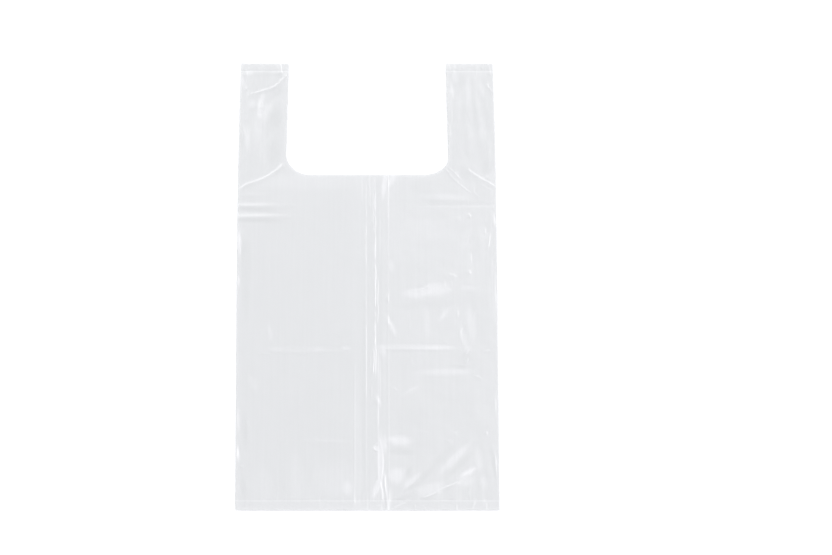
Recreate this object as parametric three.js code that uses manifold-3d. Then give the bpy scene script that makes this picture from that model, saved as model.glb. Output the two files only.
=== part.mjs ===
// A flat vest carrier bag of clear polythene film, made from one blown tube. The tube is gusseted
// down both sides, welded across the foot and across both handle ends, and die-cut with a U that
// opens the mouth and leaves the two handles.
//
// Millimetres. X runs across the bag, Y from the foot to the handle ends and Z up from the surface
// that the bag lies on. The origin is the middle of the foot edge, moved to the middle of the
// length by the last group, on that surface.
import * as THREE from 'three';
import { mergeVertices } from 'three/addons/utils/BufferGeometryUtils.js';
import Module from 'manifold-3d';

// Driving dimensions
const BAG_WIDTH = 260;
const BAG_LENGTH = 455;
const GUSSET_DEPTH = { left: 116.5, right: 109 };
const MOUTH_DEPTH = 117.5;
const MOUTH_WIDTH = { atHandleEnds: 162, atFloor: 165 };
const MOUTH_CORNER = {
  left: { across: 24, along: 21.5 },
  right: { across: 25, along: 18 },
};
const WELD_INSET = 9;
const WELD_WIDTH = 1.5;

// The real film is 0.015 thick and its plies touch. Walls and gaps are drawn thick enough to hold
// as solids, so that the folded section keeps its true form.
const FILM = 0.3;
const PLY_GAP = 0.4;

// Sizes that follow from these
const PLY_COUNT = 4;
const PLY_PITCH = FILM + PLY_GAP;
const THICKNESS = PLY_COUNT * FILM + (PLY_COUNT - 1) * PLY_GAP;
const HALF_WIDTH = BAG_WIDTH / 2;
const MOUTH_FLOOR = BAG_LENGTH - MOUTH_DEPTH;

// A fold turns the film through a half circle, and these are its two faces.
const FOLD_BACK = PLY_PITCH / 2 + FILM / 2;
const FOLD_FRONT = PLY_PITCH / 2 - FILM / 2;
const FOLD_STEPS = 4;
const CORNER_STEPS = 10;
const CUT_MARGIN = 5;

const QUARTER = Math.PI / 2;

const wasm = await Module();
wasm.setup();

function toSolid(geometry) {
  const bare = geometry.clone();
  bare.deleteAttribute('normal');
  bare.deleteAttribute('uv');
  const merged = mergeVertices(bare, 1e-5);
  const vertProperties = new Float32Array(merged.attributes.position.array);
  const triVerts = new Uint32Array(merged.index.array);
  return new wasm.Manifold(new wasm.Mesh({ numProp: 3, vertProperties, triVerts }));
}

function toGeometry(solid) {
  const { vertProperties, triVerts } = solid.getMesh();
  const geometry = new THREE.BufferGeometry();
  geometry.setAttribute('position', new THREE.BufferAttribute(new Float32Array(vertProperties), 3));
  geometry.setIndex(new THREE.BufferAttribute(new Uint32Array(triVerts), 1));
  geometry.computeVertexNormals();
  return geometry;
}

// One face of the folded tube, seen from the foot, with +X right and up as +Z. The walk goes round
// from the back panel to the right gusset, the front panel and the left gusset. outerRadius is
// the face's radius at the four folds down the bag's sides, and innerRadius at the gusset folds.
function tubeFace(path, outerRadius, innerRadius) {
  const sideX = HALF_WIDTH - FOLD_BACK;
  const lowFold = FOLD_BACK;
  const highFold = THICKNESS - FOLD_BACK;
  const middle = THICKNESS / 2;
  const rightTip = HALF_WIDTH - GUSSET_DEPTH.right + FOLD_BACK;
  const leftTip = GUSSET_DEPTH.left - HALF_WIDTH - FOLD_BACK;
  path.moveTo(-sideX, lowFold - outerRadius);
  path.lineTo(sideX, lowFold - outerRadius);
  path.absarc(sideX, lowFold, outerRadius, -QUARTER, QUARTER, false);
  path.lineTo(rightTip, middle - innerRadius);
  path.absarc(rightTip, middle, innerRadius, -QUARTER, -3 * QUARTER, true);
  path.lineTo(sideX, highFold - outerRadius);
  path.absarc(sideX, highFold, outerRadius, -QUARTER, QUARTER, false);
  path.lineTo(-sideX, highFold + outerRadius);
  path.absarc(-sideX, highFold, outerRadius, QUARTER, 3 * QUARTER, false);
  path.lineTo(leftTip, middle + innerRadius);
  path.absarc(leftTip, middle, innerRadius, QUARTER, -QUARTER, true);
  path.lineTo(-sideX, lowFold + outerRadius);
  path.absarc(-sideX, lowFold, outerRadius, QUARTER, 3 * QUARTER, false);
  return path;
}

// The four-ply gusseted tube, from the foot edge to the handle ends, open all through.
function gussetedTube() {
  const section = tubeFace(new THREE.Shape(), FOLD_BACK, FOLD_FRONT);
  section.holes.push(tubeFace(new THREE.Path(), FOLD_FRONT, FOLD_BACK));
  const tube = new THREE.ExtrudeGeometry(section, {
    depth: BAG_LENGTH,
    steps: 1,
    curveSegments: FOLD_STEPS,
    bevelEnabled: false,
  });
  tube.rotateX(QUARTER);
  tube.translate(0, BAG_LENGTH, 0);
  return toSolid(tube);
}

// A heat weld closes all the gaps between the plies in a narrow line across the bag. It ends
// inside the outer walls, which stay smooth.
function weldLine(y) {
  const buried = (FILM * 2) / 3;
  const weld = new THREE.BoxGeometry(
    BAG_WIDTH - 2 * buried,
    WELD_WIDTH,
    THICKNESS - 2 * buried,
  );
  weld.translate(0, y, THICKNESS / 2);
  return toSolid(weld);
}

// The die that cuts the mouth and frees the handles: a U with rounded corners, open at the
// handle ends, through all four plies.
function mouthDie() {
  const topHalf = MOUTH_WIDTH.atHandleEnds / 2;
  const floorHalf = MOUTH_WIDTH.atFloor / 2;
  const { left, right } = MOUTH_CORNER;
  const top = BAG_LENGTH + CUT_MARGIN;
  const outline = new THREE.Shape();
  outline.moveTo(-topHalf, top);
  outline.lineTo(-floorHalf, MOUTH_FLOOR + left.along);
  outline.absellipse(
    left.across - floorHalf, MOUTH_FLOOR + left.along, left.across, left.along,
    -2 * QUARTER, -QUARTER, false,
  );
  outline.lineTo(floorHalf - right.across, MOUTH_FLOOR);
  outline.absellipse(
    floorHalf - right.across, MOUTH_FLOOR + right.along, right.across, right.along,
    -QUARTER, 0, false,
  );
  outline.lineTo(topHalf, top);
  outline.closePath();
  const die = new THREE.ExtrudeGeometry(outline, {
    depth: THICKNESS + 2 * CUT_MARGIN,
    steps: 1,
    curveSegments: CORNER_STEPS,
    bevelEnabled: false,
  });
  die.translate(0, 0, -CUT_MARGIN);
  return toSolid(die);
}

function carrierFilm() {
  return new THREE.MeshStandardMaterial({
    name: 'blown_polythene_film',
    color: new THREE.Color(0xe6e8ec),
    roughness: 0.3,
    metalness: 0,
    transparent: true,
    opacity: 0.6,
    side: THREE.DoubleSide,
  });
}

// The whole bag is one piece of film, so it is one mesh.
function carrierBag() {
  const welded = gussetedTube()
    .add(weldLine(WELD_INSET))
    .add(weldLine(BAG_LENGTH - WELD_INSET));
  const bag = new THREE.Mesh(toGeometry(welded.subtract(mouthDie())), carrierFilm());
  bag.name = 'bag';
  return bag;
}

const part = new THREE.Group();
part.add(carrierBag());
part.position.set(0, -BAG_LENGTH / 2, 0);

export default part;
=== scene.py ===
"""Dresses a flat vest carrier bag: one gusseted tube of clear polythene film, welded and creased.

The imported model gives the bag's box. The film is built round it as one open shell of four plies,
in millimetres over the bag's flat plan, and placed in the model's frame in metres.
"""
import logging
import math
from collections.abc import Sequence
from dataclasses import dataclass, field, replace
from enum import Enum

import bmesh
import bpy
import numpy as np
from mathutils import Matrix, Vector


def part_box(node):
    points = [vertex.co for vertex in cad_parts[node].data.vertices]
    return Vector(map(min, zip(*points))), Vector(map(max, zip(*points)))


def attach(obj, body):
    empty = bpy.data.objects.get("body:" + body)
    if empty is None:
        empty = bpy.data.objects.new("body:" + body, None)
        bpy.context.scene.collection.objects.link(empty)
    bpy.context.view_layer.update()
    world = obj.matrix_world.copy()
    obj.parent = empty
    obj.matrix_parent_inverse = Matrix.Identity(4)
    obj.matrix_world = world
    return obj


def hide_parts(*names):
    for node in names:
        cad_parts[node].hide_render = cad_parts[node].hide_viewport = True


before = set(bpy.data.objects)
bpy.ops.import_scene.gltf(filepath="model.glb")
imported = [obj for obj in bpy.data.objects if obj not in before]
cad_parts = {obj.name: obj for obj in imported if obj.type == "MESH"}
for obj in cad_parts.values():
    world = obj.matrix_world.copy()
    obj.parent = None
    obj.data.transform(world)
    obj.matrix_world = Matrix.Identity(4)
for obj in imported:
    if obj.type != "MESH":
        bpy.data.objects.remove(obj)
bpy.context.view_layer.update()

MM = 0.001
LOG = logging.getLogger("carrier_bag")

Point = tuple[float, float]
Zone = tuple[float, float, float]

# The smallest difference that counts, in millimetres
TINY = 1e-6

# A crease's gentle flank beside its steep one, the share of its width left where it ends, the
# share of a flank's width that is rounded off where two flanks meet, and how many flank widths
# from its crest that rounding has died out
GENTLE = 2.8
NARROWED = 0.55
ROUNDED = 0.14
CREASE_REACH = 2.0

# The share of a facet's reach that is whole, the share over which it then dies out, and how many
# of its half widths from its middle it levels off
FACET_WHOLE = 0.5
FACET_EDGE = 0.9
FACET_LEVEL = 1.5

# How far a wandering crease strays, how often it turns, and its two flanks, in millimetres
WANDER = 0.55
WANDER_PITCH = 5.5
WANDER_FLANKS = (0.9, 1.0)
WANDER_FADE = (0.12, 0.12)

# Points that a smooth route gets for each of its own, points round each corner of the cut, and
# the spacing of the cut's other points in millimetres
ROUTE_POINTS = 6
CORNER_POINTS = 120
CUT_STEP = 0.2

# Kinds of node that the trees use most
MATH = "ShaderNodeMath"
RAMP = "ShaderNodeMapRange"
NOISE = "ShaderNodeTexNoise"


def srgb(code: str) -> tuple[float, float, float, float]:
    """Turns an sRGB hex colour to the linear values that a shader takes.

    Args:
        code: six hex digits, such as "e6e8ec".

    Returns:
        Linear red, green and blue, and an alpha of 1.
    """
    parts = [int(code[k : k + 2], 16) / 255 for k in (0, 2, 4)]
    linear = [p / 12.92 if p <= 0.04045 else ((p + 0.055) / 1.055) ** 2.4 for p in parts]
    return (*linear, 1.0)


def add_node(
    tree: bpy.types.NodeTree,
    kind: str,
    settings: dict[str, object] | None = None,
    inputs: dict[str | int, object] | None = None,
) -> bpy.types.Node:
    """Adds a node, sets its properties, and fills or links its inputs.

    Args:
        tree: the node tree that gets the node.
        kind: the node's type name.
        settings: property names and their values.
        inputs: socket names or numbers, each with a value or with the socket that feeds it.

    Returns:
        The new node.
    """
    node = tree.nodes.new(kind)
    for name, value in (settings or {}).items():
        setattr(node, name, value)
    for key, value in (inputs or {}).items():
        if isinstance(value, bpy.types.NodeSocket):
            tree.links.new(value, node.inputs[key])
        else:
            node.inputs[key].default_value = value
    return node


def smooth_step(t: np.ndarray) -> np.ndarray:
    """Eases from 0 to 1 as t goes from 0 to 1, and stays level outside."""
    t = np.clip(t, 0.0, 1.0)
    return t * t * (3.0 - 2.0 * t)


def uneven(
    along: np.ndarray, depth: float, lengths: Point, starts: tuple[np.ndarray | float, float]
) -> np.ndarray:
    """Gives a strength that comes and goes along a line, where two slow waves beat together.

    Args:
        along: places along the line.
        depth: the share of the strength that the waves change.
        lengths: how far each wave goes for one radian.
        starts: where each wave starts, in radians.

    Returns:
        Strengths up to 1.
    """
    first, second = (np.sin(along / length + start) for length, start in zip(lengths, starts))
    return 1 - depth + depth * first * second


def graded(start: float, end: float, step: float, fine: Sequence[Zone] = ()) -> np.ndarray:
    """Spaces stations along a line, closer together inside the fine zones.

    Args:
        start: first station.
        end: last station.
        step: the largest spacing.
        fine: zones, each (low, high, spacing).

    Returns:
        The stations in rising order, with start, end and every zone's edges among them.
    """
    inside = {edge for low, high, _ in fine for edge in (low, high) if start < edge < end}
    cuts = sorted({start, end, *inside})
    stations = [start]
    for low, high in zip(cuts, cuts[1:]):
        middle = (low + high) / 2
        size = min([step, *[s for a, b, s in fine if a <= middle <= b]])
        count = max(1, math.ceil((high - low) / size - TINY))
        stations += [low + (high - low) * (k + 1) / count for k in range(count)]
    return np.array(stations)


@dataclass(frozen=True)
class BagPlan:
    """The bag's flat plan, in millimetres: x from its middle line, y from its foot edge."""

    width: float
    length: float
    thickness: float
    gusset_left: float = 116.5
    gusset_right: float = 109.0
    mouth_depth: float = 117.5
    mouth_width_at_ends: float = 162.0
    mouth_width_at_floor: float = 165.0
    corner_left: Point = (24.0, 21.5)
    corner_right: Point = (25.0, 18.0)
    weld_inset: float = 9.0
    plies: int = 4

    @property
    def side(self) -> float:
        """Distance from the middle line to the folds down either side."""
        return self.width / 2

    @property
    def mouth_floor(self) -> float:
        """Height of the mouth edge above the foot edge."""
        return self.length - self.mouth_depth

    @property
    def welds(self) -> Point:
        """The two weld lines, at the foot and at the handle ends."""
        return self.weld_inset, self.length - self.weld_inset

    @property
    def left_tip(self) -> float:
        """Where the left gusset's inner fold lies."""
        return self.gusset_left - self.side

    @property
    def right_tip(self) -> float:
        """Where the right gusset's inner fold lies."""
        return self.side - self.gusset_right

    @property
    def girth(self) -> float:
        """Distance round the opened tube."""
        return 2 * (self.width + self.gusset_left + self.gusset_right)

    def mouth_outline(self) -> np.ndarray:
        """Traces the U of the cut-out from the left handle's end to the right handle's end.

        Returns:
            An array of points close together along the cut.
        """
        top, floor = self.mouth_width_at_ends / 2, self.mouth_width_at_floor / 2
        (la, lb), (ra, rb) = self.corner_left, self.corner_right
        turn = np.linspace(0.0, math.pi / 2, CORNER_POINTS)
        left = np.stack(
            [la - floor - la * np.cos(turn), self.mouth_floor + lb - lb * np.sin(turn)], 1
        )
        right = np.stack(
            [floor - ra + ra * np.sin(turn), self.mouth_floor + rb - rb * np.cos(turn)], 1
        )
        corners = np.vstack([[(-top, self.length)], left, right, [(top, self.length)]])
        runs = []
        for a, b in zip(corners, corners[1:]):
            count = max(1, int(np.linalg.norm(b - a) / CUT_STEP))
            runs.append(a + (b - a) * np.linspace(0, 1, count, endpoint=False)[:, None])
        return np.vstack([*runs, corners[-1:]])

    def film_area(self) -> float:
        """Works out the area of film in the bag: the tube less what the cut-out takes.

        Returns:
            The area, in square millimetres.
        """
        outline = self.mouth_outline()
        height = self.length - outline[:, 1]
        mean_height = (height[1:] + height[:-1]) / 2
        cut = 0.0
        for x in (
            outline[:, 0],
            np.minimum(outline[:, 0], self.left_tip),
            np.maximum(outline[:, 0], self.right_tip),
        ):
            cut += 2 * abs(float(np.sum(np.diff(x) * mean_height)))
        return self.girth * self.length - cut


class Form(Enum):
    """What a crease does to the film beside its steep flank."""

    RIDGE = 1
    GROOVE = -1


@dataclass(frozen=True)
class Crease:
    """One crease pressed into the film: two flat flanks that meet at a crest or in a groove.

    The route runs along the middle of the steep flank, which faces left as someone walking the
    route sees it. Lean is that flank's slope in degrees. Steep and gentle are the widths of the
    two flanks in millimetres, and a gentle width of nothing stands for GENTLE times the steep one.
    Fade is the share of the length that each end takes to die out and narrow.
    """

    route: tuple[Point, ...]
    lean: float
    steep: float = 1.0
    gentle: float | None = None
    fade: Point = (0.4, 0.4)
    form: Form = Form.RIDGE
    spread: float = 1.0
    fine: bool = True

    @property
    def easy(self) -> float:
        """Width of the gentle flank."""
        return GENTLE * self.steep if self.gentle is None else self.gentle

    @property
    def height(self) -> float:
        """Height of the crest that gives the steep flank its lean."""
        return math.tan(math.radians(self.lean)) * self.steep

    def line(self) -> np.ndarray:
        """Draws the route as a smooth line through its points.

        Returns:
            An array of points along the line.
        """
        points = np.array(self.route, float)
        if len(points) == 2:
            return points
        padded = np.vstack([2 * points[0] - points[1], points, 2 * points[-1] - points[-2]])
        line = []
        for a, b, c, d in zip(padded, padded[1:], padded[2:], padded[3:]):
            for t in np.linspace(0, 1, ROUTE_POINTS, endpoint=False):
                bend = (2 * a - 5 * b + 4 * c - d) * t**2 + (3 * b - a - 3 * c + d) * t**3
                line.append(b + 0.5 * ((c - a) * t + bend))
        return np.vstack([line, points[-1:]])

    def measure(self, spots: np.ndarray) -> tuple[np.ndarray, np.ndarray, float]:
        """Measures how places lie to the route.

        Args:
            spots: places, as an array of points.

        Returns:
            The distance to the route, positive on its left, how far along it the nearest
            point is, and the route's length.
        """
        line = self.line()
        steps = np.diff(line, axis=0)
        lengths = np.linalg.norm(steps, axis=1)
        starts = np.concatenate([[0.0], np.cumsum(lengths)[:-1]])
        best = np.full(len(spots), np.inf)
        signed, along = np.zeros(len(spots)), np.zeros(len(spots))
        for a, step, length, start in zip(line, steps, lengths, starts):
            offset = spots - a
            t = np.clip(offset @ step / length**2, 0.0, 1.0)
            away = offset - t[:, None] * step
            distance = np.linalg.norm(away, axis=1)
            closer = distance < best
            side = np.sign(step[0] * away[:, 1] - step[1] * away[:, 0])
            best = np.where(closer, distance, best)
            signed = np.where(closer, side * distance, signed)
            along = np.where(closer, start + t * length, along)
        return signed, along, float(lengths.sum())

    def relief(self, x: np.ndarray, y: np.ndarray) -> np.ndarray:
        """Gives the crease's height over the film.

        Args:
            x: places across the bag.
            y: places along the bag.

        Returns:
            The height at each place.
        """
        line = self.line()
        reach = CREASE_REACH * max(self.steep, self.easy) * max(1.0, self.spread)
        low, high = line.min(0) - reach, line.max(0) + reach
        near = (x > low[0]) & (x < high[0]) & (y > low[1]) & (y < high[1])
        found = np.zeros_like(x)
        if not near.any():
            return found
        signed, along, length = self.measure(np.stack([x[near], y[near]], 1))
        share = along / length
        strength = np.ones_like(share)
        for distance, fade in ((share, self.fade[0]), (1 - share, self.fade[1])):
            if fade > 0:
                strength = strength * smooth_step(distance / fade)
        growth = (1 + (self.spread - 1) * share) * (NARROWED + (1 - NARROWED) * strength)
        ridge = self.form is Form.RIDGE
        # The crest lies half of the steep flank's width from the route.
        away = signed + self.steep * growth * (0.5 if ridge else -0.5)
        on_left, on_right = (self.steep, self.easy) if ridge else (self.easy, self.steep)
        reaches = np.abs(away) / (np.where(away > 0, on_left, on_right) * growth)
        size = self.form.value * self.height * growth * strength
        fall = 1 + ROUNDED - np.hypot(reaches, ROUNDED)
        found[near] = size * (fall + np.hypot(fall, ROUNDED)) / 2 * (reaches < CREASE_REACH)
        return found


@dataclass(frozen=True)
class Facet:
    """A patch of film that leans evenly to one side, has soft edges, and carries painted light.

    Reach is its half length and half width. Painted light is how much paler its tint is painted than
    the film round it, as a painted highlight where the patch faces the lights; below nothing, it is
    painted darker, as painted shade where the patch faces away. Lean is its slope in degrees, and
    turn is the direction of its length, in degrees from x. Facing is the way it slopes down, in
    degrees from the handles' side towards the right, as the lights are.
    """

    middle: Point
    reach: Point
    painted_light: float
    lean: float = 0.0
    turn: float = 90.0
    facing: float = 60.0

    def window(self, x: np.ndarray, y: np.ndarray) -> np.ndarray:
        """Gives how much each place belongs to the facet.

        Args:
            x: places across the bag.
            y: places along the bag.

        Returns:
            Shares from 0, outside, to 1.
        """
        c, s = math.cos(math.radians(self.turn)), math.sin(math.radians(self.turn))
        dx, dy = x - self.middle[0], y - self.middle[1]
        away = np.hypot((dx * c + dy * s) / self.reach[0], (dy * c - dx * s) / self.reach[1])
        return 1 - smooth_step((away - FACET_WHOLE) / FACET_EDGE)

    def relief(self, x: np.ndarray, y: np.ndarray) -> np.ndarray:
        """Gives the facet's height over the film.

        Args:
            x: places across the bag.
            y: places along the bag.

        Returns:
            The height at each place.
        """
        facing = math.radians(self.facing)
        ahead = (x - self.middle[0]) * math.sin(facing) + (y - self.middle[1]) * math.cos(facing)
        # A long facet leans over its width, and its ends level off.
        most = FACET_LEVEL * self.reach[1]
        ahead = most * np.tanh(ahead / most)
        return -math.tan(math.radians(self.lean)) * ahead * self.window(x, y)


@dataclass
class Area:
    """One area of the bag: the creases pressed into its film, and the patches that lean and carry painted
    highlight or painted shade.
    """

    creases: list[Crease]
    facets: list[Facet]


def down(x: float, top: float, foot: float, lean: float, steep: float = 0.8, **rest: object) -> Crease:
    """Makes a crease straight down the bag, with its steep flank facing right.

    Args:
        x: where the steep flank lies across the bag.
        top: height of its upper end.
        foot: height of its lower end.
        lean: slope of the steep flank, in degrees.
        steep: width of the steep flank.
        rest: the crease's other sizes.

    Returns:
        The crease.
    """
    return Crease(((x, top), (x, foot)), lean, steep, **rest)


def wandering(x: float, top: float, foot: float, lean: float, seed: int) -> Crease:
    """Makes a fine crease down the bag that wanders a little from side to side.

    Args:
        x: where it lies across the bag.
        top: height of its upper end.
        foot: height of its lower end.
        lean: slope of its steep flank, in degrees.
        seed: picks which way it wanders.

    Returns:
        The crease.
    """
    count = max(3, int((top - foot) / WANDER_PITCH))
    strays = np.random.default_rng(seed).uniform(-WANDER, WANDER, count)
    route = zip((x + strays).tolist(), np.linspace(top, foot, count).tolist())
    return Crease(tuple(route), lean, *WANDER_FLANKS, WANDER_FADE)


def left_handle() -> Area:
    """Describes the left handle, where the bag was pulled and packed.

    Returns:
        Its creases and facets.
    """
    creases = [
        Crease(((-125, 418), (-121, 421.5), (-109, 425.5), (-100, 428.5), (-94, 431.5), (-88, 437.5),
                (-84.5, 441)), 16, 1.15, 2.0, (0.4, 0)),
        Crease(((-89.5, 455), (-88.5, 449), (-87, 442)), 12, 1.0, 2.0, (0, 0.2), spread=1.8),
        down(-84.7, 455, 444, 8, 0.7, fade=(0, 0.2)),
        Crease(((-121.5, 430), (-124, 425)), 10, 1.2),
        down(-128.5, 420, 416, 11, 1.2),
        Crease(((-107, 424), (-107.5, 412), (-109, 400)), 11, 1.8, 2.2, (0.5, 0.15)),
        Crease(((-127, 362), (-127, 390)), 7, 1.5, 2.6),
        Crease(((-124, 388), (-120.5, 362)), 7, 1.2),
        down(-112.5, 390, 372, 5, 1.0),
        down(-106.5, 385, 370, 5, 1.0),
        down(-85.2, 412, 370, 8, 0.8),
        Crease(((-129.5, 358), (-130, 343)), 11, 1.0),
        Crease(((-126.5, 356), (-129.5, 341)), 9, 1.0),
        Crease(((-131, 321), (-123, 327), (-118, 329), (-112, 331), (-105, 334), (-99, 337.5),
                (-93, 342), (-88, 346.5), (-84, 350.5)), 15, 1.5, 2.6, (0.03, 0.08)),
    ]
    facets = [
        Facet((-108, 412), (14, 2.6), 0.38, 6, turn=85),
        Facet((-108.8, 401), (5, 3), 0.3, 5, turn=85),
        Facet((-103.5, 402), (13, 3), 0.3, 5, turn=77),
        Facet((-117.5, 412), (5, 3.4), 0.26, 5, facing=45),
        Facet((-121.5, 444), (4.5, 3), 0.34, 3, turn=0, facing=30),
        Facet((-127.5, 435), (8, 2.4), 0.3, 5, turn=107),
        Facet((-122, 375), (16, 2.4), 0.21, 5, turn=98),
        Facet((-127, 376), (16, 2), -0.15, 2, facing=215),
        Facet((-112, 386), (22, 4), 0.21, 3, turn=88),
        Facet((-106, 370), (24, 4), 0.13, 3, turn=92),
        Facet((-94, 396), (16, 6), -0.23, 2, turn=88, facing=215),
        Facet((-94, 360), (26, 6), -0.1, 2, facing=215),
        Facet((-104, 442.5), (17, 3), -0.2, turn=0),
        Facet((-92, 425), (9, 5), -0.1, 2, turn=60, facing=195),
    ]
    return Area(creases, facets)


def right_handle() -> Area:
    """Describes the right handle and its root.

    Returns:
        Its creases and facets.
    """
    creases = [
        Crease(((84, 455), (86, 446)), 10, 1.0, fade=(0, 0.3)),
        down(90.5, 455, 447, 9, fade=(0, 0.3)),
        down(98, 455, 448, 9, fade=(0, 0.3)),
        down(112.3, 455, 440, 9, 0.7, fade=(0, 0.3)),
        Crease(((120, 455), (119, 447)), 13, 1.1, fade=(0, 0.3)),
        Crease(((125, 454), (126.5, 447), (128, 440)), 11, 1.0, fade=(0, 0.3)),
        Crease(((85, 438), (88, 415)), 7, 1.6),
        Crease(((124, 434), (124.5, 430), (127, 427), (129, 424.5)), 13, 0.9, fade=(0.2, 0)),
        down(84.5, 395, 370, 11, 0.9, gentle=1.4),
        down(86.5, 412, 385, 7, 1.2),
        Crease(((102.5, 395), (103.5, 375)), 5, 1.0),
        Crease(((101, 345), (104, 341.5), (110, 337), (117, 332.5), (124, 328.5), (130.5, 324.5)),
               16, 1.1, 4.0, (0.1, 0)),
        Crease(((112, 329), (128, 320)), 7, 1.0),
        Crease(((80, 343), (86, 335), (93, 328), (100, 322), (106, 317.5)), 12, 0.9, 1.2, (0, 0.15)),
        Crease(((82.5, 345), (90, 338), (97, 330)), 11, 0.9, 1.2, (0, 0.25)),
        Crease(((109, 329), (107.5, 322), (109, 318), (114, 313)), 10, 1.0),
        Crease(((122.5, 337), (121.5, 331)), 9, 0.9),
        Crease(((22, 304.5), (128, 304.5)), 5.5, 1.8, 3.6, (0.55, 0.02), Form.GROOVE),
        down(101.5, 314, 305, 9, 0.8),
        Crease(((126, 308), (128, 300)), 11, 0.9),
    ]
    facets = [
        Facet((90.5, 440), (7, 3), 0.3, 5),
        Facet((103.2, 428), (15, 2.8), 0.36, 4, turn=88),
        Facet((105, 408), (16, 2.4), 0.2, 3, turn=93),
        Facet((117.5, 427), (10, 2.6), 0.3, 4, turn=92),
        Facet((86.5, 427), (14, 2), 0.21, 5, turn=83),
        Facet((109, 360), (24, 3.4), 0.12, 2),
        Facet((104, 380), (28, 2.2), 0.14, 2, turn=92),
        Facet((97.5, 358), (13, 2.4), 0.16, 3, turn=108),
        Facet((94, 405), (20, 3), 0.13, 3, turn=88),
        Facet((116, 394), (24, 4), 0.13, 3),
        Facet((98, 339), (9, 5), -0.1, 2, turn=100, facing=215),
        Facet((110, 398), (26, 2.6), -0.15, 2, facing=215),
        Facet((121, 345), (12, 5), -0.15, 2, turn=60, facing=215),
        Facet((78, 314.5), (24, 4), 0.12, 3, turn=0, facing=10),
        Facet((75, 309), (50, 2.4), -0.08, 1, turn=0, facing=190),
    ]
    return Area(creases, facets)


def left_side() -> Area:
    """Describes the left half below its handle.

    Returns:
        Its creases and facets.
    """
    creases = [
        Crease(((-131, 306), (-95, 306.3), (-60, 306)), 10, 3.0, 3.6, (0, 0.8)),
        Crease(((-131, 294.6), (-95, 295), (-60, 294.3)), 11, 3.0, 3.6, (0, 0.7)),
        Crease(((-131, 317), (-90, 317)), 5, 2.6, 3.0, (0, 0.6)),
        down(-128.6, 280, 256, 9, 1.4, gentle=1.4, fade=(0.5, 0.5)),
        down(-128.9, 236, 220, 14, 1.4),
        Crease(((-128, 254), (-128.6, 246)), 8, 1.4),
        down(-129.6, 150, 110, 10, 1.0),
        down(-127, 140, 120, 7, 1.4),
        Crease(((-98.5, 181), (-96, 170)), 5, 1.2),
        Crease(((-113, 155), (-98, 154.5), (-90, 152)), 8, 0.8),
        Crease(((-96, 156.6), (-60, 157), (-18, 157.6)), 2, 2.0, 3.6, (0.3, 0.1)),
        down(-128.6, 98, 75, 10, 1.3, gentle=1.5),
        down(-128.4, 64, 47, 16, 1.3, gentle=1.5),
        down(-127.5, 31, 15, 10, 1.3),
        Crease(((-126.5, 43), (-121, 43)), 10, 1.0),
        down(-121.5, 75, 45, 8, 0.8),
        Crease(((-120, 60), (-120, 95)), 6, 1.6, 2.6),
        Crease(((-124, 15), (-120, 30)), 6, 1.6),
        down(-119.5, 12, 0, 9, fade=(0.3, 0)),
        Crease(((-103, 12), (-101, 0)), 8, 0.9, fade=(0.3, 0)),
        down(-88, 30, 0, 7, fade=(0.3, 0)),
        Crease(((-81, 22), (-83, 0)), 7, 0.9, fade=(0.3, 0)),
        down(-47, 12, 0, 9, fade=(0.3, 0)),
        down(-40.5, 7, 0, 10, 1.4, fade=(0.3, 0)),
        down(-24, 12, 5, 8),
        Crease(((-62, 68), (-18, 68)), 4, 1.6),
        down(-88, 75, 60, 5),
        down(-79.5, 74, 68, 6),
    ]
    facets = [
        Facet((-128.2, 268), (13, 2.4), 0.51, 11, facing=75),
        Facet((-121, 238), (46, 4.6), -0.14, 1.5, facing=215),
        Facet((-124.5, 262), (16, 2.6), -0.1, 3, facing=215),
        Facet((-128.6, 228), (6, 1.8), 0.26, 8, facing=75),
        Facet((-112, 301), (24, 3), -0.14, 3, turn=0, facing=190),
        Facet((-110, 289.5), (26, 2.6), -0.14, 2, turn=0, facing=190),
        Facet((-60, 330), (50, 9), 0.15, 0.5, turn=0, facing=5),
        Facet((-60, 158.5), (42, 4), 0.05, 1.5, turn=0, facing=5),
        Facet((-90, 158.5), (6, 3), 0.08, 2, turn=0, facing=5),
        Facet((-48, 159), (5, 3), 0.08, 2, turn=0, facing=5),
        Facet((-21.5, 160), (5, 2.6), 0.2, 4, turn=0, facing=5),
        Facet((-113.5, 125), (8, 3), 0.21, 4, turn=112, facing=50),
        Facet((-97, 176), (9, 2.4), 0.17, 4, turn=95),
        Facet((-127.5, 88), (12, 2), 0.3, 6, facing=75),
        Facet((-128, 55), (8, 2), 0.47, 8, facing=75),
        Facet((-121, 78), (20, 3.4), -0.14, 2, facing=215),
        Facet((-122, 22), (10, 3), -0.14, 2, turn=95, facing=215),
        Facet((-19.5, 21.5), (7, 5), 0.34, 4, facing=50),
        Facet((-30, 30), (22, 18), 0.13, 0.6, turn=0, facing=30),
        Facet((-40, 68), (24, 2.6), 0.06, 2, turn=0, facing=5),
        Facet((-70, 30), (26, 8), 0.09, 1.5),
        Facet((-102, 24), (22, 8), 0.1, 1.5),
    ]
    return Area(creases, facets)


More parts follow.
